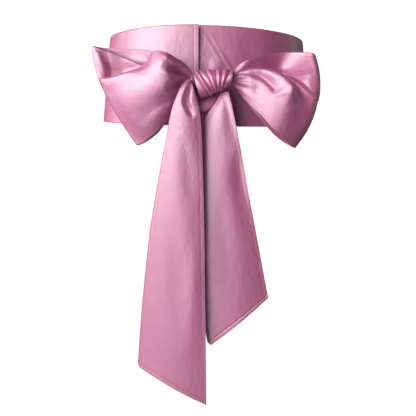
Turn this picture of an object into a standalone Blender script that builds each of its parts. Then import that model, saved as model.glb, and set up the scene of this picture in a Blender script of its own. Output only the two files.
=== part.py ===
"""A satin waist sash, wound once round the waist and tied in front in a wide bow with two long tails.

+X is to the right as the sash is seen from the front, the bow faces -Y and +Z is up. The origin is the
middle of the waist hollow at half the height of the band. Tables are in millimetres, and MM turns
them to metres.
"""

import math
from collections import namedtuple

import bpy
from mathutils import Vector

MM = 0.001

WALL = 1.2  # two layers of satin in the bow and tails
BAND_WALL = 1.6  # the waist band, which is interlined by its own seam allowances

# Waist band: a ring a little deeper in its corners than an ellipse, flared towards the hips.
BAND_TOP_HALF_WIDTH, BAND_TOP_HALF_DEPTH = 123.5, 90.0
BAND_LOW_HALF_WIDTH, BAND_LOW_HALF_DEPTH = 136.5, 99.0
BAND_TOP, BAND_LOW = 46.0, -54.0
BAND_FRONT_RISE, BAND_FRONT_DROP = 9.0, 2.0
BAND_SQUARENESS = 2.45
BAND_TILT = -0.018  # the right side sits lower
BAND_END_ANGLE = -5.0  # the hemmed outer end, just left of the middle
BAND_UNDERLAP = 15.0  # degrees that the inner end runs on beneath it
BAND_LIFT_TOP, BAND_LIFT_LOW = 5.0, 2.6  # how far the outer end stands off the inner one
BAND_LIFT_REACH = 50.0  # degrees from the outer end in which that fades away
BAND_ARC = 1.95  # millimetres of band to one degree of its ring

# Knot: a pleated tube with slanting ends, round the necks of both loops.
KNOT_Y, KNOT_HALF_DEPTH = -114.5, 13.0
KNOT_SPLAY = 0.075  # its front leans out to the right, by twice this share of x
KNOT_PLEATS, KNOT_PLEAT_HEIGHT = 6.5, 0.8

Section = namedtuple("Section", "x_top y_top z_top x_mid y_mid z_mid x_low y_low z_low")
TailRow = namedtuple(
    "TailRow", "x_right y_right z_right x_left y_left z_left bow roll tuck rise"
)
KnotRing = namedtuple("KnotRing", "x_top x_low z_middle half_height swell")
Crease = namedtuple("Crease", "p0 q0 p1 q1 height left right")

# Each loop runs from the knot out along its front, round the outer fold and back along its rear.
LEFT_LOOP_FRONT = [
    Section(-6, -114, -3, -6, -115, -8, -6, -113, -13),
    Section(-15, -118, 1, -15, -118, -5, -15, -114, -11),
    Section(-21, -122, 9, -20, -120, -4, -20, -114, -17),
    Section(-30, -127, 15, -29, -127.5, -4, -27, -114, -26),
    Section(-43, -129, 21, -38, -136, -7, -35, -116, -37),
    Section(-56, -126, 22, -51, -136, -14, -45, -117, -49),
    Section(-68, -118, 10, -66, -132, -19, -56, -115, -62),
    Section(-90, -107, 18, -86, -125, -20, -67, -112, -71),
    Section(-108, -105, 25, -101, -117, -19, -73, -110, -75),
    Section(-125, -103, 31, -115.5, -107, -14, -79, -109, -77),
]
LEFT_LOOP_REAR = [
    Section(-114, -97, 30, -104, -95, -18, -74, -103, -76),
    Section(-93, -97, 29, -84, -95, -19, -65, -102, -71),
    Section(-74, -99, 28, -66, -99, -17, -54, -102, -62),
    Section(-57, -101, 25, -50, -102, -13, -43, -103, -48),
    Section(-38, -104, 17, -35, -103, -9, -32, -104, -35),
    Section(-26, -106, 10, -25, -106, -6, -24, -106, -22),
    Section(-15, -108, 1, -15, -109, -5, -15, -108, -11),
    Section(-6, -109, -3, -6, -110, -8, -6, -109, -13),
]
RIGHT_LOOP_FRONT = [
    Section(20, -113, -2, 20, -115, -6, 20, -113, -10),
    Section(28, -114, 1, 28, -117, -4, 28, -114, -9),
    Section(35, -117, 9, 35, -120, -4, 36, -116, -18),
    Section(43, -120, 14, 41, -123, -5, 42, -121, -26),
    Section(54, -121, 18, 50, -126, -8, 50, -126, -34),
    Section(67, -119, 22, 62, -130, -12, 61, -131, -45),
    Section(80, -116, 24, 77, -135, -17, 70.5, -134, -56),
    Section(93, -116, 24, 92, -138, -23, 81.5, -131, -66),
    Section(107, -120, 23, 109, -135, -29, 92, -122, -75),
    Section(115, -122, 21, 118.7, -129, -32, 98.5, -114, -79),
    Section(119.7, -107, 18, 122, -111, -33, 100.5, -108, -80),
]
RIGHT_LOOP_REAR = [
    Section(110, -98, 21, 112, -97, -30, 92, -101, -76),
    Section(94, -97, 23, 93, -95, -24, 80, -101, -67),
    Section(80, -98, 22, 76, -97, -15, 70, -101, -57),
    Section(66, -100, 19, 60, -101, -12, 59, -102, -45),
    Section(52, -103, 14, 48, -103, -9, 47, -103, -32),
    Section(40, -106, 9, 38, -106, -6, 38, -106, -20),
    Section(28, -108, 1, 28, -109, -4, 28, -108, -9),
    Section(20, -109, -2, 20, -110, -6, 20, -109, -10),
]

# The largest folds of the loops, as lines in the front view: above 0 a ridge, below 0 a trough.
LEFT_LOOP_FOLDS = [
    Crease(-126, -2, -60, 8, -14, 14, 5),  # the pocket under the upper edge
    Crease(-20, -3, -42, 2, -6, 5, 5),  # the valley that runs out of the knot
    Crease(-24, -21, -76, -52, -6, 4, 9),  # the low fold
]
RIGHT_LOOP_FOLDS = [
    Crease(40, 6, 90, 3, -14, 16, 3),  # the valley under the upper edge
    Crease(84, 0, 122, -31, -7, 3, 20),  # the crease below the outer bulge
    Crease(110, 22, 117, -22, 8, 6, 18),  # the outer bulge
]

LEFT_TAIL = [
    TailRow(-16.5, -124, -6, -20.5, -124, -6, 0.5, 1.2, 1.5, 0),
    TailRow(-14, -129, -14, -27, -129, -14, 1.5, 1.5, 4, 0),
    TailRow(-11, -131, -25, -32.5, -131, -26, 2, 1.8, 8, 0),
    TailRow(-7, -132, -40, -38, -131, -42, 3, 2.2, 14, 0),
    TailRow(-5, -132, -64, -43.5, -130, -68, 3.5, 3.0, 20, 0),
    TailRow(-3.5, -132, -110, -52.5, -129, -110, 4, 3.6, 28, 0),
    TailRow(-2.2, -132, -175, -64, -128, -170, 4, 4.2, 30, 0.05),
    TailRow(-1.6, -131, -245, -72.5, -127, -232, 4, 5.0, 28, 0.2),
    TailRow(-0.6, -130, -320, -79, -126, -288, 4, 6.0, 22, 0.4),
    TailRow(0, -129, -397.5, -85, -125, -351, 4, 7.0, 15, 0.56),
]
RIGHT_TAIL = [
    TailRow(24, -119, -18, 16, -116, -20, 0.5, 1.2, 2, 0),
    TailRow(26.5, -123, -27, 11, -118, -29, 1.5, 1.5, 4, 0),
    TailRow(29.5, -126, -40, 1.5, -119, -42, 2, 1.8, 8, 0),
    TailRow(33.5, -127, -58, -8, -119, -61, 2.5, 2.2, 12, 0),
    TailRow(39.8, -126, -88, -10, -120, -94, 3, 3.0, 18, 0),
    TailRow(48, -123, -130, -11, -120, -140, 3.5, 3.4, 24, 0),
    TailRow(58, -120, -178, -10, -120, -200, 4, 3.8, 26, 0.1),
    TailRow(66.5, -118, -220, -7, -119, -260, 4, 4.4, 24, 0.3),
    TailRow(74.8, -117, -259.5, 1, -119, -321, 4, 5.0, 20, 0.6),
]
LEFT_TAIL_FOLDS = [
    Crease(-18, -10, -17, -52, -5.0, 5, 3),  # the deep crease between its two lobes
    Crease(-30, -52, -40, -150, -2.5, 9, 9),
]
RIGHT_TAIL_FOLDS = [
    Crease(22, -30, 38, -120, -2.5, 6, 9),
]

KNOT_RINGS = [
    KnotRing(-15, -6.5, -11, 15.0, 0.0),
    KnotRing(-7, -2, -9.8, 13.6, 0.8),
    KnotRing(4, 6, -8.2, 12.0, 1.0),
    KnotRing(17, 15, -6.0, 10.2, 0.8),
    KnotRing(29, 26, -4.0, 8.4, 0.0),
]

# The half knot below the wrap: upper edge, middle and lower edge of a strip rising to the right.
UNDER_KNOT = [
    Section(-13, -108, -30, -14, -110, -36, -13, -112, -42),
    Section(-7, -110, -28.5, -7, -114, -34, -7, -118, -41.5),
    Section(1, -110, -25, 2, -114, -31, 1, -118, -38),
    Section(8, -108, -22, 9, -111.5, -27, 7, -114, -34),
    Section(14, -106, -19.5, 14, -108, -24, 12, -109, -29),
]

# Creases of the band, as lines of ring degrees (turned to millimetres) and height.
BAND_CREASES = [
    Crease(150, 40, 168, -46, -1.4, 14, 10),
    Crease(-158, 38, -146, -40, -1.6, 12, 16),
    Crease(96, 30, 106, -50, 1.2, 12, 12),
]


def clear_scene():
    for old in list(bpy.data.objects):
        bpy.data.objects.remove(old, do_unlink=True)


def smooth_row(rows, place):
    """The table row at place, from 0 on the first row to 1 on the last, on a Catmull-Rom curve."""
    position = place * (len(rows) - 1)
    first = min(int(position), len(rows) - 2)
    t = position - first
    before, start, end, after = (
        rows[min(max(first + step, 0), len(rows) - 1)] for step in (-1, 0, 1, 2)
    )
    values = [
        b + 0.5 * t * (c - a + t * (2 * a - 5 * b + 4 * c - d + t * (3 * (b - c) + d - a)))
        for a, b, c, d in zip(before, start, end, after)
    ]
    return type(rows[0])(*values)


def crease_height(p, q, crease):
    """The lift of one crease at p, q: full on its line, and nothing past its sides and ends."""
    line_p, line_q = crease.p1 - crease.p0, crease.q1 - crease.q0
    length = math.hypot(line_p, line_q)
    along = ((p - crease.p0) * line_p + (q - crease.q0) * line_q) / length**2
    aside = ((q - crease.q0) * line_p - (p - crease.p0) * line_q) / length
    if not 0 < along < 1:
        return 0.0
    width = crease.left if aside > 0 else crease.right
    return crease.height * math.exp(-((aside / width) ** 2)) * math.sin(math.pi * along)


def crease_lift(p, q, creases):
    return sum(crease_height(p, q, crease) for crease in creases)


def section_point(section, across):
    """A point on the curve through the section's upper edge, middle and lower edge."""
    top = Vector((section.x_top, section.y_top, section.z_top))
    mid = Vector((section.x_mid, section.y_mid, section.z_mid))
    low = Vector((section.x_low, section.y_low, section.z_low))
    return (
        top * (1 - across) * (1 - 2 * across)
        + mid * 4 * across * (1 - across)
        + low * across * (2 * across - 1)
    )


def loop_grid(front, rear, folds, rows=37, columns=11):
    """Rows of points from the knot, round the outer fold and back. The folds fade out at the fold line."""
    sections = front + rear
    turn = (len(front) - 1) / (len(sections) - 1)
    grid = []
    for i in range(rows):
        place = i / (rows - 1)
        section = smooth_row(sections, place)
        fade = max(0.0, min(1.0, (turn - place) / 0.1))
        points = [section_point(section, j / (columns - 1)) for j in range(columns)]
        for point in points:
            point.y -= fade * crease_lift(point.x, point.z, folds)
        grid.append(points)
    return grid


def tail_row(row, folds, front_steps=9, roll_steps=4, tuck_steps=2):
    """Points from a tail's right edge across its front, round the roll at its left and along the tuck."""
    right = Vector((row.x_right, row.y_right, row.z_right))
    left = Vector((row.x_left + row.roll, row.y_left, row.z_left))
    points = []
    for step in range(front_steps):
        across = step / front_steps
        point = right.lerp(left, across)
        fold = crease_lift(point.x, point.z, folds)
        point.y -= row.bow * math.sin(math.pi * across) + fold * min(1.0, 4 * (1 - across))
        points.append(point)
    for step in range(roll_steps + 1):
        angle = math.pi * step / roll_steps
        out = Vector((-math.sin(angle), 1 - math.cos(angle), row.rise * angle))
        points.append(left + row.roll * out)
    behind = points[-1]
    for step in range(1, tuck_steps + 1):
        inward = row.tuck * step / tuck_steps
        points.append(behind + Vector((inward, 0, row.rise * inward)))
    return points


def tail_grid(table, folds, rows=25):
    return [tail_row(smooth_row(table, i / (rows - 1)), folds) for i in range(rows)]


def band_point(turn, height):
    """turn goes from the hemmed outer end, round the left side and the back, to the end beneath."""
    degrees = BAND_END_ANGLE - turn * (360 + BAND_UNDERLAP)
    angle = math.radians(degrees)
    side, front = math.sin(angle), math.cos(angle)
    half_width = BAND_LOW_HALF_WIDTH + height * (BAND_TOP_HALF_WIDTH - BAND_LOW_HALF_WIDTH)
    half_depth = BAND_LOW_HALF_DEPTH + height * (BAND_TOP_HALF_DEPTH - BAND_LOW_HALF_DEPTH)
    radius = (
        abs(side / half_width) ** BAND_SQUARENESS + abs(front / half_depth) ** BAND_SQUARENESS
    ) ** (-1 / BAND_SQUARENESS)
    off_end = (BAND_END_ANGLE - degrees) / BAND_LIFT_REACH
    lift = BAND_LIFT_LOW + height**2 * (BAND_LIFT_TOP - BAND_LIFT_LOW)
    radius += lift * max(0.0, 1 - off_end**2)
    facing = max(0.0, front)
    top = BAND_TOP + BAND_FRONT_RISE * facing
    low = BAND_LOW - BAND_FRONT_DROP * facing
    z = low + height * (top - low)
    ring_degrees = (degrees + 180) % 360 - 180
    creases = [
        c._replace(p0=c.p0 * BAND_ARC, p1=c.p1 * BAND_ARC)
        for c in BAND_CREASES
        if off_end > 1 or c.height < 0
    ]
    radius += crease_lift(ring_degrees * BAND_ARC, z, creases)
    x = radius * side
    return Vector((x, -radius * front, z + BAND_TILT * x))


def band_grid(rows=80, columns=6):
    return [
        [band_point(i / (rows - 1), 1 - j / (columns - 1)) for j in range(columns)]
        for i in range(rows)
    ]


def knot_grid(rings=11, around=28):
    """Rings from the left end of the wrap to the right one, each from its front over the top."""
    grid = []
    for i in range(rings):
        ring = smooth_row(KNOT_RINGS, i / (rings - 1))
        points = []
        for j in range(around):
            angle = 2 * math.pi * j / around
            up = math.sin(angle)
            x = ring.x_low + (ring.x_top - ring.x_low) * (1 + up) / 2
            pleat = KNOT_PLEAT_HEIGHT * math.sin(2 * math.pi * KNOT_PLEATS * i / rings + angle)
            out = ring.swell + pleat - KNOT_PLEAT_HEIGHT
            splay = KNOT_SPLAY * x
            y = KNOT_Y - splay - (KNOT_HALF_DEPTH + splay + out) * math.cos(angle)
            points.append(Vector((x, y, ring.z_middle + (ring.half_height + out) * up)))
        grid.append(points)
    return grid


def under_knot_grid(rows=12, columns=7):
    return [
        [section_point(smooth_row(UNDER_KNOT, i / (rows - 1)), j / (columns - 1)) for j in range(columns)]
        for i in range(rows)
    ]


def satin(name, colour):
    material = bpy.data.materials.new(name)
    material.use_nodes = True
    shader = material.node_tree.nodes["Principled BSDF"]
    shader.inputs["Base Color"].default_value = (*colour, 1.0)
    shader.inputs["Roughness"].default_value = 0.38
    shader.inputs["Metallic"].default_value = 0.0
    return material


def cloth(name, grid, wall, colour, closed=False):
    """A cloth wall of the given thickness, half to each side of the grid of points."""
    columns = len(grid[0])
    vertices = [point * MM for row in grid for point in row]
    last = columns if closed else columns - 1
    faces = [
        (
            i * columns + j,
            i * columns + (j + 1) % columns,
            (i + 1) * columns + (j + 1) % columns,
            (i + 1) * columns + j,
        )
        for i in range(len(grid) - 1)
        for j in range(last)
    ]
    mesh = bpy.data.meshes.new(name)
    mesh.from_pydata(vertices, [], faces)
    mesh.shade_smooth()
    mesh.materials.append(satin(f"{name} satin", colour))
    piece = bpy.data.objects.new(name, mesh)
    bpy.context.collection.objects.link(piece)
    thickness = piece.modifiers.new("Wall", "SOLIDIFY")
    thickness.thickness = wall * MM
    thickness.offset = 0.0
    thickness.use_rim = True
    return piece


def main():
    clear_scene()
    pale, middle, deep = (0.80, 0.42, 0.60), (0.68, 0.30, 0.47), (0.55, 0.20, 0.36)
    cloth("waist_band", band_grid(), BAND_WALL, middle)
    cloth("bow_loop_left", loop_grid(LEFT_LOOP_FRONT, LEFT_LOOP_REAR, LEFT_LOOP_FOLDS), WALL, pale)
    cloth("bow_loop_right", loop_grid(RIGHT_LOOP_FRONT, RIGHT_LOOP_REAR, RIGHT_LOOP_FOLDS), WALL, pale)
    cloth("knot_wrap", knot_grid(), WALL, pale, closed=True)
    cloth("knot_under", under_knot_grid(), WALL, deep)
    cloth("tail_left", tail_grid(LEFT_TAIL, LEFT_TAIL_FOLDS), WALL, pale)
    cloth("tail_right", tail_grid(RIGHT_TAIL, RIGHT_TAIL_FOLDS), WALL, middle)


main()
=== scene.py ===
import math

import bmesh
import bpy
import numpy as np
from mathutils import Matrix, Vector


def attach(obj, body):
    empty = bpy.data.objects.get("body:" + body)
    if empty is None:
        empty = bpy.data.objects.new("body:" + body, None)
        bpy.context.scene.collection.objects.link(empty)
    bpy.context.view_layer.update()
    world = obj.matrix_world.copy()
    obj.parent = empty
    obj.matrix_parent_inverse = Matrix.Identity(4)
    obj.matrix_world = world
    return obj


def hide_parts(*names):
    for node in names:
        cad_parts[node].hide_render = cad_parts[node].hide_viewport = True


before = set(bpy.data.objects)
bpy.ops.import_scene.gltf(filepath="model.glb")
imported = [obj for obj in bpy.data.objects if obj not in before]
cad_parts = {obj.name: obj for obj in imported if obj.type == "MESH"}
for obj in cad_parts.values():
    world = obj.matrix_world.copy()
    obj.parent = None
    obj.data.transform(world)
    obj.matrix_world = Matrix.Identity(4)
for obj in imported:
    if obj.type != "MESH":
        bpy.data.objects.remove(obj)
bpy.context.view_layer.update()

# A satin waist sash tied in a front bow. Tables are in millimetres, as a maker measures, and mm makes
# them metres. +X is right, the bow faces -Y, +Z is up, and the origin is the middle of the waist.
mm = 0.001
sashWidth = 120.0
clothWall = 1.0
stepsPerStation = 8  # how finely the line of a fold is followed
# a pleat swells and widens from the knot: where its stations lie, their share of its height, their reach
pleatShape = {"along": (0.0, 0.35, 0.7, 1.0), "rise": (0.5, 1.0, 0.7, 0.0), "reach": (1.0, 1.8, 3.2, 5.0)}
stitchLine = {"depth": 0.14, "reach": 0.9}


def smoothRows(rows, places):
    # table rows read at places from 0 (first row) to 1 (last row), on a Catmull-Rom curve
    rows = np.array(rows, float)
    position = np.clip(places, 0, 1) * (len(rows) - 1)
    first = np.minimum(position.astype(int), len(rows) - 2)
    t = (position - first)[:, None]
    a, b, c, d = (rows[np.clip(first + step, 0, len(rows) - 1)] for step in (-1, 0, 1, 2))
    return b + 0.5 * t * (c - a + t * (2 * a - 5 * b + 4 * c - d + t * (3 * (b - c) + d - a)))


def rowPlaces(runs):
    # runs of first place, last place and number of rows, so that rows can lie closer where it matters
    return np.concatenate([np.linspace(a, b, n, endpoint=b == 1.0) for a, b, n in runs])


def foldLift(x, z, folds):
    # a fold is a line of stations: x, z, height, reach on its left and on its right. A line that runs
    # towards +X has its left above it, and one that runs down has its left towards +X
    lift = np.zeros_like(x)
    for fold in folds:
        line = smoothRows(fold, np.linspace(0, 1, stepsPerStation * len(fold)))
        nearest = np.full(x.shape, np.inf)
        value = np.zeros_like(x)
        for start, end in zip(line[:-1], line[1:]):
            dx, dz = end[0] - start[0], end[1] - start[1]
            length = max(math.hypot(dx, dz), 1e-6)
            along = np.clip(((x - start[0]) * dx + (z - start[1]) * dz) / length**2, 0, 1)
            away = np.hypot(x - start[0] - along * dx, z - start[1] - along * dz)
            onLeft = dx * (z - start[1]) - dz * (x - start[0]) > 0
            height, leftReach, rightReach = (start[k] + along * (end[k] - start[k]) for k in (2, 3, 4))
            reach = np.where(onLeft, leftReach, rightReach)
            closer = away < nearest
            nearest = np.where(closer, away, nearest)
            value = np.where(closer, height * np.exp(-(away / reach) ** 2), value)
        lift += value
    return lift


def pleatFan(centre, pleats):
    # pleats that spread from the knot: angle in degrees, where each starts and ends, height
    folds = []
    for angle, near, far, height in pleats:
        across, up = math.cos(math.radians(angle)), math.sin(math.radians(angle))
        spots = [near + (far - near) * along for along in pleatShape["along"]]
        line = [
            (centre[0] + across * spot, centre[1] + up * spot, height * rise, reach, reach)
            for spot, rise, reach in zip(spots, pleatShape["rise"], pleatShape["reach"])
        ]
        folds.append(line if across > 0 else line[::-1])
    return folds


def sectionGrid(sections, places, across):
    # each section is a curve through its upper edge, its middle and its lower edge
    rows = smoothRows(sections, places)
    top, mid, low = rows[:, None, 0:3], rows[:, None, 3:6], rows[:, None, 6:9]
    v = across[None, :, None]
    return top * (1 - v) * (1 - 2 * v) + mid * 4 * v * (1 - v) + low * v * (2 * v - 1)


def hemLine(distance, setIn, depth=stitchLine["depth"]):
    # the small furrow that a line of stitches draws, setIn from the edge
    return -depth * np.exp(-((distance - setIn) / stitchLine["reach"]) ** 2)


def makeCloth(name, grid, length, places=None, wall=clothWall, closed=False):
    # a thin shell, half its wall to each side of the grid, with a UV map in metres of flat cloth.
    # places are where the rows lie along its length, from 0 to 1; a closed grid joins its last column
    # to its first
    rows, columns = grid.shape[:2]
    places = np.linspace(0, 1, rows) if places is None else places
    across = columns if closed else columns - 1
    faces = [
        (i * columns + j, i * columns + (j + 1) % columns,
         (i + 1) * columns + (j + 1) % columns, (i + 1) * columns + j)
        for i in range(rows - 1) for j in range(across)
    ]
    mesh = bpy.data.meshes.new(name)
    mesh.from_pydata((grid.reshape(-1, 3) * mm).tolist(), [], faces)
    layer = mesh.uv_layers.new(name="clothUv")
    corners = []
    for i in range(rows - 1):
        u0, u1 = (float(place) * length * mm for place in places[i:i + 2])
        for j in range(across):
            v0, v1 = j / across * sashWidth * mm, (j + 1) / across * sashWidth * mm
            corners += [u0, v0, u0, v1, u1, v1, u1, v0]
    layer.data.foreach_set("uv", corners)
    mesh.shade_smooth()
    piece = bpy.data.objects.new(name, mesh)
    bpy.context.collection.objects.link(piece)
    solidify = piece.modifiers.new("Wall", "SOLIDIFY")
    solidify.thickness = wall * mm
    solidify.offset = 0.0
    return piece


def finishCloth(piece, node, material, flat, **how):
    piece.data.materials.append(material)
    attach(piece, "root")
    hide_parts(node)


def toLinear(hexColour):
    # an sRGB hex value as the linear colour that a socket takes
    channels = [int(hexColour[i:i + 2], 16) / 255 for i in (1, 3, 5)]
    return [c / 12.92 if c <= 0.04045 else ((c + 0.055) / 1.055) ** 2.4 for c in channels] + [1.0]


def addNode(tree, kind, settings=None, inputs=None, links=None):
    node = tree.nodes.new(kind)
    for name, value in (settings or {}).items():
        setattr(node, name, value)
    for name, value in (inputs or {}).items():
        node.inputs[name].default_value = value
    for name, source in (links or {}).items():
        tree.links.new(source, node.inputs[name])
    return node


satin = {
    "face": "#b94a82",
    "faceDeep": "#ae4278",
    "ior": 1.9, "specular": 1.0, "roughness": 0.50,
    "coat": 1.0, "coatIor": 1.7, "coatRoughness": 0.70,
    "sheen": 0.08, "sheenRoughness": 0.4,
    "clouding": 55.0,  # mm, the slow change of dye and lay over the cloth
    "ribSpacing": 2.4,  # mm; the weft is really 0.15 mm, too fine to show, so it is drawn this coarse
    "ribLength": 22.0, "ribHeight": 0.12, "ribTint": 0.35, "crinkle": 9.0, "crinkleHeight": 0.5,
}


def makeSatin(name):
    # a face of long floating threads: deep colour, with a broad soft shine wherever it turns to the light
    material = bpy.data.materials.new(name)
    material.use_nodes = True
    tree = material.node_tree
    shader = tree.nodes["Principled BSDF"]
    uv = addNode(tree, "ShaderNodeUVMap", {"uv_map": "clothUv"})
    clouds = addNode(tree, "ShaderNodeTexNoise", None,
                     {"Scale": 1000 / satin["clouding"], "Detail": 2.0}, {"Vector": uv.outputs["UV"]})
    alongWeft = addNode(tree, "ShaderNodeMapping", None,
                        {"Scale": (1000 / satin["ribSpacing"], 1000 / satin["ribLength"], 1.0)},
                        {"Vector": uv.outputs["UV"]})
    ribs = addNode(tree, "ShaderNodeTexNoise", None, {"Scale": 1.0, "Detail": 2.0},
                   {"Vector": alongWeft.outputs["Vector"]})
    crinkles = addNode(tree, "ShaderNodeTexNoise", None,
                       {"Scale": 1000 / satin["crinkle"], "Detail": 3.0}, {"Vector": uv.outputs["UV"]})
    shade = addNode(tree, "ShaderNodeMath", {"operation": "MULTIPLY_ADD"}, {1: satin["ribTint"]},
                    {0: ribs.outputs["Fac"], 2: clouds.outputs["Fac"]})
    tint = addNode(tree, "ShaderNodeMix", {"data_type": "RGBA"},
                   {6: toLinear(satin["face"]), 7: toLinear(satin["faceDeep"])},
                   {"Factor": shade.outputs["Value"]})
    tree.links.new(tint.outputs[2], shader.inputs["Base Color"])
    crumple = addNode(tree, "ShaderNodeBump", None, {"Distance": satin["crinkleHeight"] * mm},
                      {"Height": crinkles.outputs["Fac"]})
    weave = addNode(tree, "ShaderNodeBump", None, {"Distance": satin["ribHeight"] * mm},
                    {"Height": ribs.outputs["Fac"], "Normal": crumple.outputs["Normal"]})
    tree.links.new(weave.outputs["Normal"], shader.inputs["Normal"])
    finish = {
        "IOR": "ior", "Specular IOR Level": "specular", "Roughness": "roughness", "Coat Weight": "coat",
        "Coat IOR": "coatIor", "Coat Roughness": "coatRoughness", "Sheen Weight": "sheen",
        "Sheen Roughness": "sheenRoughness",
    }
    for socket, key in finish.items():
        shader.inputs[socket].default_value = satin[key]
    return material


satinFace = makeSatin("Duchess satin, woven")
print("satin ready")

band = {
    "topHalfWidth": 123.5, "topHalfDepth": 90.0, "lowHalfWidth": 136.5, "lowHalfDepth": 99.0,
    "top": 46.0, "low": -54.0, "frontRise": 9.0, "frontDrop": 2.0, "squareness": 2.45, "tilt": -0.018,
    # angles run in degrees from the front centre, minus to the left, from the outer end at endAngle,
    # round the back and on to the inner end, and the right side's folds end just past the front again.
    # The outer end stands off the layer under it by its lift
    "endAngle": -5.0, "underlap": 15.0, "rightFoldsEnd": -366.0, "liftReach": 50.0,
    "liftTop": 5.0, "liftLow": 2.6, "wall": 1.4, "length": 745.0,
    "hem": 4.6, "hemLift": 0.1, "hemDepth": 0.12, "ringRadius": 97.0, "columns": 84,
    "rowRuns": [(0.0, 0.02, 40), (0.02, 0.8, 290), (0.8, 1.0, 160)],  # closer rows near the front
    "leftFolds": [  # a station's x is measured along the ring from the front centre
        [(-30, 50, 0, 8, 8), (-52, 20, 0.7, 10, 8), (-60, -40, 0, 12, 8)],
        [(-96, 42, 0, 8, 8), (-104, 0, -0.8, 9, 9), (-106, -50, 0, 8, 8)],
        [(-267, 38, -1.6, 20, 27), (-247, -40, -1.6, 20, 27)],
    ],
    "rightFolds": [
        # two ridges pulled slantwise towards the knot, and a soft hollow beyond them
        [(4, 48, 0.1, 1.8, 1.5), (16, 28, 0.3, 1.8, 1.5), (27, 10, 0.5, 2.4, 1.8)],
        [(-6, 50, 0.1, 1.8, 1.5), (4, 35, 0.25, 1.8, 1.5), (14, 20, 0.3, 2.4, 1.8)],
        [(44, 50, 0, 10, 10), (52, 24, -1.2, 12, 12), (60, 2, 0, 10, 10)],
        [(4, 18, 0, 6, 6), (13, 12, 1.4, 8, 8), (20, 4, 0, 6, 6)],
        [(163, 30, 1.2, 20, 20), (180, -50, 1.2, 20, 20)],
        [(254, 40, -1.4, 22, 16), (284, -46, -1.4, 22, 16)],
    ],
}
bandPlaces = rowPlaces(band["rowRuns"])


def bandGrid():
    turn = bandPlaces[:, None]
    height = np.linspace(1, 0, band["columns"])[None, :]
    degrees = band["endAngle"] - turn * (360 + band["underlap"])
    side, front = np.sin(np.radians(degrees)), np.cos(np.radians(degrees))
    halfWidth = band["lowHalfWidth"] + height * (band["topHalfWidth"] - band["lowHalfWidth"])
    halfDepth = band["lowHalfDepth"] + height * (band["topHalfDepth"] - band["lowHalfDepth"])
    power = band["squareness"]
    radius = (np.abs(side / halfWidth) ** power + np.abs(front / halfDepth) ** power) ** (-1 / power)
    offEnd = (band["endAngle"] - degrees) / band["liftReach"]
    lift = band["liftLow"] + height**2 * (band["liftTop"] - band["liftLow"])
    radius = radius + lift * np.clip(1 - offEnd**2, 0, None)
    fromEnd = np.radians(band["endAngle"] - degrees) * band["ringRadius"]
    radius = radius + band["hemLift"] * (fromEnd < band["hem"])
    radius = radius + hemLine(fromEnd, band["hem"], band["hemDepth"])
    facing = np.clip(front, 0, None)
    top = band["top"] + band["frontRise"] * facing
    low = band["low"] - band["frontDrop"] * facing
    z = low + height * (top - low)
    ring = np.radians((degrees + 180) % 360 - 180) * band["ringRadius"] + 0 * height
    isLeft = (degrees > -180) | (degrees < band["rightFoldsEnd"])
    leftLift, rightLift = foldLift(ring, z, band["leftFolds"]), foldLift(ring, z, band["rightFolds"])
    radius = radius + np.where(isLeft, leftLift, rightLift)
    x = radius * side
    return np.stack([x, -radius * front, z + band["tilt"] * x], axis=-1)


waistBand = makeCloth("waistBand", bandGrid(), band["length"], bandPlaces, band["wall"])
finishCloth(waistBand, "waist_band", satinFace, (sashWidth, band["length"]), held="stretched",
            rests_on=["root"])
print("waist band wound")

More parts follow.
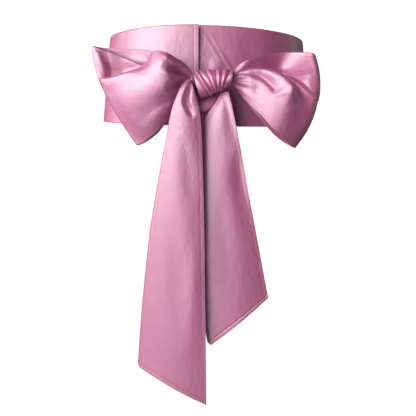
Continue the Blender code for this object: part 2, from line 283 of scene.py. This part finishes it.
# both loops run from the knot along the front, round the outer fold and back along the rear
loopCloth = {
    "rows": 250, "columns": 130, "hem": 4.0,
    "frontFade": 0.03, "rearFade": 0.08,  # share of the length over which folds fade at the outer fold
    "rearPleats": 0.7,  # how strong the knot's pleats are on the rear
}
leftLoop = {
    "front": [  # x y z of the upper edge, the middle and the lower edge
        (-6, -114, -3, -6, -115, -8, -6, -113, -13),
        (-15, -118, 1, -15, -118, -5, -15, -114, -11),
        (-21, -122, 9, -20, -120, -4, -20, -114, -17),
        (-30, -127, 15, -29, -127.5, -4, -27, -114, -26),
        (-43, -129, 21, -38, -136, -7, -35, -116, -37),
        (-56, -126, 22, -51, -136, -14, -45, -117, -49),
        (-68, -118, 10, -66, -132, -19, -56, -115, -62),
        (-90, -107, 18, -86, -125, -20, -67, -112, -71),
        (-108, -105, 25, -101, -117, -19, -73, -110, -75),
        (-125, -103, 31, -115.5, -107, -14, -79, -109, -77),
    ],
    "rear": [
        (-114, -97, 30, -104, -95, -18, -74, -103, -76),
        (-93, -97, 29, -84, -95, -19, -65, -102, -71),
        (-74, -99, 28, -66, -99, -17, -54, -102, -62),
        (-57, -101, 25, -50, -102, -13, -43, -103, -48),
        (-38, -104, 17, -35, -103, -9, -32, -104, -35),
        (-26, -106, 10, -25, -106, -6, -24, -106, -22),
        (-15, -108, 1, -15, -109, -5, -15, -108, -11),
        (-6, -109, -3, -6, -110, -8, -6, -109, -13),
    ],
    "frontFolds": [
        # the pocket by the outer corner, its bright outer margin, and the roll of cloth below it
        [(-118, -3, -5, 16, 1.2), (-110, -2, -9, 20, 1.2), (-103, -1, -13, 19, 1.2), (-89, 3, -17, 13, 1.2),
         (-76, 6, -12, 7, 1.4), (-66, 9, -2, 4, 2)],
        [(-119, 22, 1.5, 3, 7), (-114, 10, 3, 4, 7), (-114, 0, 3, 4, 7)],
        [(-124, -8, 1, 3, 9), (-103, -5, 2, 3, 9), (-80, 2, 2, 3, 9), (-66, 6, 1, 4, 8)],
        # the facet up to the peak, and the roll from it to the knot with a dimple below
        [(-52, 2, 0, 5, 5), (-46, 10, 2, 8, 4), (-42, 16, 2.5, 9, 4), (-41, 20, 2.5, 9, 4)],
        [(-40, 14, 1, 4, 2), (-34, 11, 2.5, 4, 2), (-26, 7, 2.5, 3, 2), (-18, 2, 1, 2, 2)],
        [(-38, 18, 0, 2, 2), (-34, 16, -1, 2, 2), (-29, 13, 0, 2, 2)],
        # the two dark hollows beside the knot
        [(-41, 4, 0, 2, 3), (-37, 4, -5, 4, 4), (-31, 2, -8, 5, 4), (-25, -1, -7, 4, 3), (-18, -3, -4, 2, 2)],
        [(-42, -19, 0, 4, 8), (-34, -14, -5, 4, 4), (-26, -9, -6, 3, 3), (-18, -5, -2, 1.5, 1.5)],
        # the body turns under above a lower flap
        [(-77, -54, 0, 12, 8), (-64, -42, -1.5, 12, 5), (-53, -33, -2.4, 12, 6), (-40, -27, -4, 9, 4),
         (-24, -24, -4, 5, 2)],
    ],
    "rearFolds": [
        [(-100, -14, 0, 10, 12), (-72, -10, -3, 8, 8), (-40, -6, -3, 5, 5), (-18, -4, -1, 2, 2)],
        [(-86, 20, 0, 6, 8), (-60, 14, -3, 5, 5), (-34, 6, -2, 3, 3), (-20, 0, -1, 2, 2)],
        [(-70, -50, 0, 8, 8), (-52, -36, -3, 5, 6), (-32, -20, -2, 3, 4), (-20, -9, -1, 2, 2)],
    ],
    "knotPlace": (-9, -7),
    "pleats": [
        (148, 8, 40, 1.6), (160, 10, 34, -1.6), (168, 9, 46, 1.8), (183, 10, 30, 1.4), (196, 10, 36, -1.4),
        (206, 9, 30, 1.5), (217, 10, 28, -1.3), (228, 9, 24, 1.2),
    ],
    "length": 250.0, "shown": 0.0235,  # shown is the flat area of the loop's own shape, in m2
}

rightLoop = {
    "front": [
        (20, -113, -2, 20, -115, -6, 20, -113, -10),
        (28, -114, 1, 28, -117, -4, 28, -114, -9),
        (35, -117, 9, 35, -120, -4, 36, -116, -18),
        (43, -120, 14, 41, -123, -5, 42, -121, -26),
        (54, -121, 18, 50, -126, -8, 50, -126, -34),
        (67, -119, 22, 62, -130, -12, 61, -131, -45),
        (80, -116, 24, 77, -135, -17, 70.5, -134, -56),
        (93, -116, 24, 92, -138, -23, 81.5, -131, -66),
        (107, -120, 23, 109, -135, -29, 92, -122, -75),
        (115, -122, 21, 118.7, -129, -32, 98.5, -114, -79),
        (119.7, -107, 18, 122, -111, -33, 100.5, -108, -80),
    ],
    "rear": [
        (110, -98, 21, 112, -97, -30, 92, -101, -76),
        (94, -97, 23, 93, -95, -24, 80, -101, -67),
        (80, -98, 22, 76, -97, -15, 70, -101, -57),
        (66, -100, 19, 60, -101, -12, 59, -102, -45),
        (52, -103, 14, 48, -103, -9, 47, -103, -32),
        (40, -106, 9, 38, -106, -6, 38, -106, -20),
        (28, -108, 1, 28, -109, -4, 28, -108, -9),
        (20, -109, -2, 20, -110, -6, 20, -109, -10),
    ],
    "frontFolds": [
        # the broad valley under the upper edge, whose floor meets the top of the tongue
        [(34, 2, -1, 2, 1.2), (46, 6, -5, 8, 1.3), (60, 7, -11, 13, 1.3), (72, 6, -16, 17, 1.4),
         (82, 2, -18, 18, 1.8), (89, -5, -12, 17, 2.4), (95, -14, -3, 10, 2.4)],
        [(86, 27, -5, 24, 24), (90, 17, -9, 24, 24), (92, 6, -8, 20, 18), (93, -3, -3, 12, 10)],
        # the outer bulge, and the crease that cuts in below it
        [(108, 22, 1, 8, 16), (113, 12, 3.5, 5, 18), (116, -2, 5, 5, 20), (117, -16, 5, 5, 20),
         (119, -26, 1, 5, 12)],
        [(80, 1, 0, 1.4, 3), (88, -2, -5, 1.4, 4), (97, -8, -9, 1.4, 7), (107, -18, -10, 1.5, 20),
         (116, -26, -6, 2, 32), (124, -32, -3, 3, 32)],
        # the tongue, then the hollow between it and the body
        [(60, 3, 0, 2, 6), (74, 1, 3, 2, 9), (85, -4, 5, 2.2, 12), (92, -11, 8, 2.6, 15), (95, -20, 7, 4, 15),
         (95, -32, 2, 8, 12)],
        [(36, 0, -1.5, 2, 1.6), (50, 0, -3, 4, 3.5), (61, -5, -5.5, 6, 2.4), (69, -12, -5, 6, 2.4),
         (76, -20, 0, 5, 4)],
        [(48, -14, 0, 3, 3), (54, -17, -1.5, 4, 4), (60, -20, 0, 4, 4)],
    ],
    "rearFolds": [
        [(26, -4, -1, 2, 2), (48, -6, -3, 5, 5), (74, -12, -3, 8, 8), (100, -18, 0, 10, 12)],
        [(28, 0, -1, 2, 2), (44, 5, -2, 3, 3), (66, 12, -3, 5, 5), (92, 16, 0, 6, 8)],
        [(28, -8, -1, 2, 2), (46, -20, -2, 3, 4), (64, -36, -3, 5, 6), (84, -52, 0, 8, 8)],
    ],
    "knotPlace": (22, -5),
    "pleats": [
        (36, 8, 34, 1.4), (24, 9, 40, -1.5), (10, 9, 30, 1.2), (-4, 9, 26, -0.8), (-14, 9, 34, 1.4),
        (-26, 9, 30, -1.3), (-36, 9, 40, 1.2), (-44, 9, 30, -1.0),
    ],
    "length": 245.0, "shown": 0.0225,
}


def loopGrid(loop):
    sections = loop["front"] + loop["rear"]
    turn = (len(loop["front"]) - 1) / (len(sections) - 1)
    places = np.linspace(0, 1, loopCloth["rows"])
    grid = sectionGrid(sections, places, np.linspace(0, 1, loopCloth["columns"]))
    x, z = grid[..., 0], grid[..., 2]
    frontShare = np.clip((turn - places) / loopCloth["frontFade"], 0, 1)[:, None]
    rearShare = np.clip((places - turn) / loopCloth["rearFade"], 0, 1)[:, None]
    pleats = foldLift(x, z, pleatFan(loop["knotPlace"], loop["pleats"]))
    lift = frontShare * (foldLift(x, z, loop["frontFolds"]) + pleats)
    lift -= rearShare * (foldLift(x, z, loop["rearFolds"]) + loopCloth["rearPleats"] * pleats)
    fromTop = np.linspace(0, sashWidth, loopCloth["columns"])[None, :]
    fromEdge = np.minimum(fromTop, sashWidth - fromTop)
    outward = np.where(rearShare > 0, -1, 1)  # the rear layer's outer face looks back
    lift += outward * hemLine(fromEdge, loopCloth["hem"])
    grid[..., 1] -= lift
    return grid


for loop, name, node in (
    (leftLoop, "bowLoopLeft", "bow_loop_left"), (rightLoop, "bowLoopRight", "bow_loop_right")
):
    piece = makeCloth(name, loopGrid(loop), loop["length"])
    finishCloth(piece, node, satinFace, (sashWidth, loop["length"]), held="gathered",
                rests_on=["waistBand"], area=loop["shown"])
print("bow loops folded")

knot = {
    "rings": [  # x at the top, x at the bottom, middle height, half height, swell
        (-15, -6.5, -11, 15.0, 0.0), (-7, -2, -9.8, 13.6, 0.8), (4, 6, -8.2, 12.0, 1.0),
        (17, 15, -6.0, 10.2, 0.8), (29, 26, -4.0, 8.4, 0.0),
    ],
    "pleats": [  # place along the top and along the bottom, from 0 at the left to 1; height, reach
        (0.05, 0.42, -1.6, 0.035), (0.11, 0.50, 1.8, 0.040), (0.22, 0.56, -0.7, 0.030),
        (0.40, 0.60, -1.3, 0.022), (0.47, 0.64, 1.0, 0.035), (0.62, 0.67, -0.9, 0.020),
        (0.68, 0.71, 0.9, 0.030), (0.76, 0.74, -1.2, 0.022), (0.84, 0.77, 1.2, 0.030),
        (0.93, 0.82, -1.0, 0.025),
    ],
    # splay brings the front forward towards the right and leaves the rear straight; drawnIn sets the
    # whole wrap in, so that its pleats stand out to the rings
    "y": -114.5, "splay": 0.075, "halfDepth": 13.0, "drawnIn": 0.4, "rows": 110, "around": 120,
    "gathered": 60.0,  # cloth pleated across the wrap
    "flat": (50.0, 90.0),
}
underKnot = {
    "sections": [  # x y z of the upper edge, the middle and the lower edge
        (-13, -108, -30, -14, -110, -36, -13, -112, -42),
        (-7, -110, -28.5, -7, -114, -34, -7, -118, -41.5),
        (1, -110, -25, 2, -114, -31, 1, -118, -38),
        (8, -108, -22, 9, -111.5, -27, 7, -114, -34),
        (14, -106, -19.5, 14, -108, -24, 12, -109, -29),
    ],
    "height": 14.0, "hem": 2.6, "rows": 50, "columns": 40, "flat": (32.0, 20.0),
}


def knotGrid():
    places = np.linspace(0, 1, knot["rows"])
    rings = smoothRows(knot["rings"], places)[:, None, :]
    angle = np.linspace(0, 2 * np.pi, knot["around"], endpoint=False)[None, :]
    up = np.sin(angle)
    x = rings[..., 1] + (rings[..., 0] - rings[..., 1]) * (1 + up) / 2
    out = rings[..., 4] - knot["drawnIn"]
    for top, bottom, height, reach in knot["pleats"]:
        middle = bottom + (top - bottom) * (1 + up) / 2
        out = out + height * np.exp(-((places[:, None] - middle) / reach) ** 2)
    splay = knot["splay"] * x
    y = knot["y"] - splay - (knot["halfDepth"] + splay + out) * np.cos(angle)
    z = rings[..., 2] + (rings[..., 3] + out) * up
    return np.stack([x, y, z], axis=-1)


knotWrap = makeCloth("knotWrap", knotGrid(), knot["gathered"], closed=True)
finishCloth(knotWrap, "knot_wrap", satinFace, knot["flat"], held="gathered",
            rests_on=["bowLoopLeft", "bowLoopRight"])
underPlaces = np.linspace(0, 1, underKnot["rows"])
underAcross = np.linspace(0, 1, underKnot["columns"])
underGrid = sectionGrid(underKnot["sections"], underPlaces, underAcross)
underGrid[..., 1] -= hemLine(underKnot["height"] * (1 - underAcross), underKnot["hem"])
knotUnder = makeCloth("knotUnder", underGrid, underKnot["flat"][0])
finishCloth(knotUnder, "knot_under", satinFace, underKnot["flat"], held="gathered",
            rests_on=["waistBand"])
print("knot pleated")

# bow is how far a tail's middle stands forward, roll the radius of its rolled left edge, tuck what is
# folded behind, and rise how steeply that part climbs, so that it follows the slanted end
leftTail = {
    "rows": [  # right edge x y z, left edge x y z, bow, roll, tuck, rise
        (-16.5, -124, -6, -20.5, -124, -6, 0.5, 1.2, 1.5, 0),
        (-14, -129, -14, -27, -129, -14, 1.5, 1.5, 4, 0),
        (-11, -131, -25, -32.5, -131, -26, 2, 1.8, 8, 0),
        (-7, -132, -40, -38, -131, -42, 3, 2.2, 14, 0),
        (-5, -132, -64, -43.5, -130, -68, 3.5, 3.0, 20, 0),
        (-3.5, -132, -110, -52.5, -129, -110, 4, 3.6, 28, 0),
        (-2.2, -132, -175, -64, -128, -170, 4, 4.2, 30, 0.05),
        (-1.6, -131, -245, -72.5, -127, -232, 4, 5.0, 28, 0.2),
        (-0.6, -130, -320, -79, -126, -288, 4, 6.0, 22, 0.4),
        (0, -129, -397.5, -85, -125, -351, 4, 7.0, 15, 0.56),
    ],
    "folds": [
        # the deep crease between its two lobes at the top, then soft long folds
        [(-13, -46, 0, 3, 3), (-17, -39, -4, 3, 3.5), (-21, -29, -6.5, 3, 3.5), (-19, -18, -6, 2.5, 2.5),
         (-15.5, -8, -2, 1.5, 1.5)],
        [(-26, -62, 0, 6, 6), (-20, -100, -1.6, 9, 9), (-18, -150, 0, 9, 9)],
        [(-40, -150, 0, 8, 8), (-34, -220, -1.4, 12, 12), (-36, -320, 0, 14, 14)],
        [(-12, -180, 0, 6, 6), (-16, -250, 1.2, 9, 9), (-20, -340, 0, 10, 10)],
    ],
    "length": 400.0, "shown": 0.0430,
}
rightTail = {
    "rows": [
        (24, -119, -18, 16, -116, -20, 0.5, 1.2, 2, 0),
        (26.5, -123, -27, 11, -118, -29, 1.5, 1.5, 4, 0),
        (29.5, -126, -40, 1.5, -119, -42, 2, 1.8, 8, 0),
        (33.5, -127, -58, -8, -119, -61, 2.5, 2.2, 12, 0),
        (39.8, -126, -88, -10, -120, -94, 3, 3.0, 18, 0),
        (48, -123, -130, -11, -120, -140, 3.5, 3.4, 24, 0),
        (58, -120, -178, -10, -120, -200, 4, 3.8, 26, 0.1),
        (66.5, -118, -220, -7, -119, -260, 4, 4.4, 24, 0.3),
        (74.8, -117, -259.5, 1, -119, -321, 4, 5.0, 20, 0.6),
    ],
    "folds": [
        [(21, -26, -0.8, 2, 3), (26, -50, -1.5, 4, 6), (32, -84, 0, 8, 8)],
        [(34, -80, 0, 6, 6), (38, -110, -2.5, 5, 10), (44, -150, -1, 8, 10), (52, -190, 0, 8, 10)],
        [(16, -120, 0, 8, 8), (22, -190, -1.2, 12, 12), (30, -270, 0, 12, 12)],
    ],
    "length": 310.0, "shown": 0.0300,
}
tailCloth = {
    "rowRuns": [(0.0, 0.94, 210), (0.94, 1.0, 50)],  # closer rows at the hemmed end
    "front": 56, "roll": 12, "tuck": 8,
    "edgeCrowd": 2.0,  # the front's columns crowd towards the hemmed right edge
    "foldFade": 4,  # folds fade over the last quarter before the rolled edge
    "endHem": 6.0, "endHemDepth": 0.5, "sideHem": 4.0,
}
tailPlaces = rowPlaces(tailCloth["rowRuns"])


def tailGrid(tail):
    rows = smoothRows(tail["rows"], tailPlaces)
    right, left = rows[:, None, 0:3], rows[:, None, 3:6].copy()
    bow, roll, tuck, rise = (rows[:, None, k] for k in (6, 7, 8, 9))
    left[..., 0] += roll
    across = (np.arange(tailCloth["front"]) / tailCloth["front"])[None, :] ** tailCloth["edgeCrowd"]
    front = right * (1 - across[..., None]) + left * across[..., None]
    lift = foldLift(front[..., 0], front[..., 2], tail["folds"])
    lift *= np.minimum(1, tailCloth["foldFade"] * (1 - across))
    width = np.linalg.norm(right - left, axis=-1)
    lift += hemLine(across * width, tailCloth["sideHem"])
    fromEnd = (1 - tailPlaces[:, None]) * tail["length"]
    lift += hemLine(fromEnd, tailCloth["endHem"], tailCloth["endHemDepth"])
    front[..., 1] -= bow * np.sin(np.pi * across) + lift
    angle = np.linspace(0, np.pi, tailCloth["roll"] + 1)[None, :]
    turn = left + np.stack([-roll * np.sin(angle), roll * (1 - np.cos(angle)), roll * rise * angle], axis=-1)
    inward = np.linspace(0, 1, tailCloth["tuck"] + 1)[None, 1:] * tuck
    behind = turn[:, -1:] + np.stack([inward, 0 * inward, rise * inward], axis=-1)
    return np.concatenate([front, turn, behind], axis=1)


for tail, name, node in ((leftTail, "tailLeft", "tail_left"), (rightTail, "tailRight", "tail_right")):
    piece = makeCloth(name, tailGrid(tail), tail["length"], tailPlaces)
    finishCloth(piece, node, satinFace, (sashWidth, tail["length"]), held="hung",
                rests_on=["knotWrap"], area=tail["shown"])
print("tails hung")

studio = {
    "cameraPlace": (0.002, -0.620, -0.040), "cameraPitch": -12.17, "lens": 38.5,
    "floorHeight": -0.95, "floorFront": -3.0, "wallPlace": 2.2, "coveRadius": 1.1, "coveSegments": 24,
    "width": 8.0, "wallHeight": 3.0, "tolerance": 0.01,
    # the paper and the air look white to the camera, and give the cloth only a little light
    "paperColour": "#8a8688", "paperRoughness": 0.9, "airStrength": 0.025,
    "lamps": {  # place, aim, size, power
        "keySoftbox": ((-1.20, -1.20, 0.62), (0.0, -0.1, -0.12), 1.7, 49.0),
        "leftSoftbox": ((-1.70, -0.35, 0.10), (0.0, -0.05, -0.10), 1.0, 8.0),
        "rightSoftbox": ((1.60, 0.20, 0.10), (0.0, 0.0, 0.0), 0.9, 2.5),
        "fillSoftbox": ((-0.45, -1.40, -0.50), (0.0, -0.1, -0.25), 0.8, 5.0),
    },
}


def makePaper():
    # a roll of paper: flat as the floor, round in the cove and straight up the wall
    bpy.ops.object.select_all(action="DESELECT")
    behind, above = studio["wallPlace"] - studio["tolerance"], studio["floorHeight"] + studio["tolerance"]
    depth = studio["wallPlace"] - studio["floorFront"]
    middle = (studio["wallPlace"] + studio["floorFront"]) / 2
    bpy.ops.mesh.primitive_plane_add(size=1, location=(0, middle, studio["floorHeight"]))
    paper = bpy.context.object
    paper.name = "studioPaper"
    paper.scale = (studio["width"], depth, 1)
    bpy.ops.object.transform_apply(location=True, rotation=True, scale=True)
    bpy.ops.object.mode_set(mode="EDIT")
    form = bmesh.from_edit_mesh(paper.data)
    form.select_mode = {"EDGE"}
    for edge in form.edges:
        edge.select_set(all(v.co.y > behind for v in edge.verts))
    form.select_flush_mode()
    bmesh.update_edit_mesh(paper.data)
    bpy.ops.mesh.extrude_region_move(TRANSFORM_OT_translate={"value": (0, 0, studio["wallHeight"])})
    form = bmesh.from_edit_mesh(paper.data)
    for edge in form.edges:
        edge.select_set(all(v.co.y > behind and v.co.z < above for v in edge.verts))
    bmesh.update_edit_mesh(paper.data)
    bpy.ops.mesh.bevel(offset=studio["coveRadius"], segments=studio["coveSegments"])
    bpy.ops.object.mode_set(mode="OBJECT")
    bpy.ops.object.shade_smooth()
    paint = bpy.data.materials.new("Matt studio paper")
    paint.use_nodes = True
    shader = paint.node_tree.nodes["Principled BSDF"]
    shader.inputs["Base Color"].default_value = toLinear(studio["paperColour"])
    shader.inputs["Roughness"].default_value = studio["paperRoughness"]
    shader.inputs["Emission Color"].default_value = (1, 1, 1, 1)
    seen = addNode(paint.node_tree, "ShaderNodeLightPath")
    paint.node_tree.links.new(seen.outputs["Is Camera Ray"], shader.inputs["Emission Strength"])
    paper.data.materials.append(paint)


def makeStudio():
    makePaper()
    for name, (place, aim, size, power) in studio["lamps"].items():
        bpy.ops.object.light_add(type="AREA", location=place)
        lamp = bpy.context.object
        lamp.name = name
        lamp.data.size = size
        lamp.data.energy = power
        lamp.rotation_euler = (Vector(aim) - Vector(place)).to_track_quat("-Z", "Y").to_euler()
    world = bpy.data.worlds.new("Studio air")
    world.use_nodes = True
    world.node_tree.nodes["Background"].inputs["Color"].default_value = (1, 1, 1, 1)
    seen = addNode(world.node_tree, "ShaderNodeLightPath")
    air = addNode(world.node_tree, "ShaderNodeMix", None, {"A": studio["airStrength"], "B": 1.0},
                  {"Factor": seen.outputs["Is Camera Ray"]})
    world.node_tree.links.new(air.outputs["Result"], world.node_tree.nodes["Background"].inputs["Strength"])
    bpy.context.scene.world = world
    pitch = math.radians(90 + studio["cameraPitch"])
    bpy.ops.object.camera_add(location=studio["cameraPlace"], rotation=(pitch, 0, 0))
    camera = bpy.context.object
    camera.data.lens = studio["lens"]
    camera.data.sensor_width = 36.0
    bpy.context.scene.camera = camera
    bpy.context.scene.view_settings.view_transform = "Standard"


makeStudio()
print("studio lit")
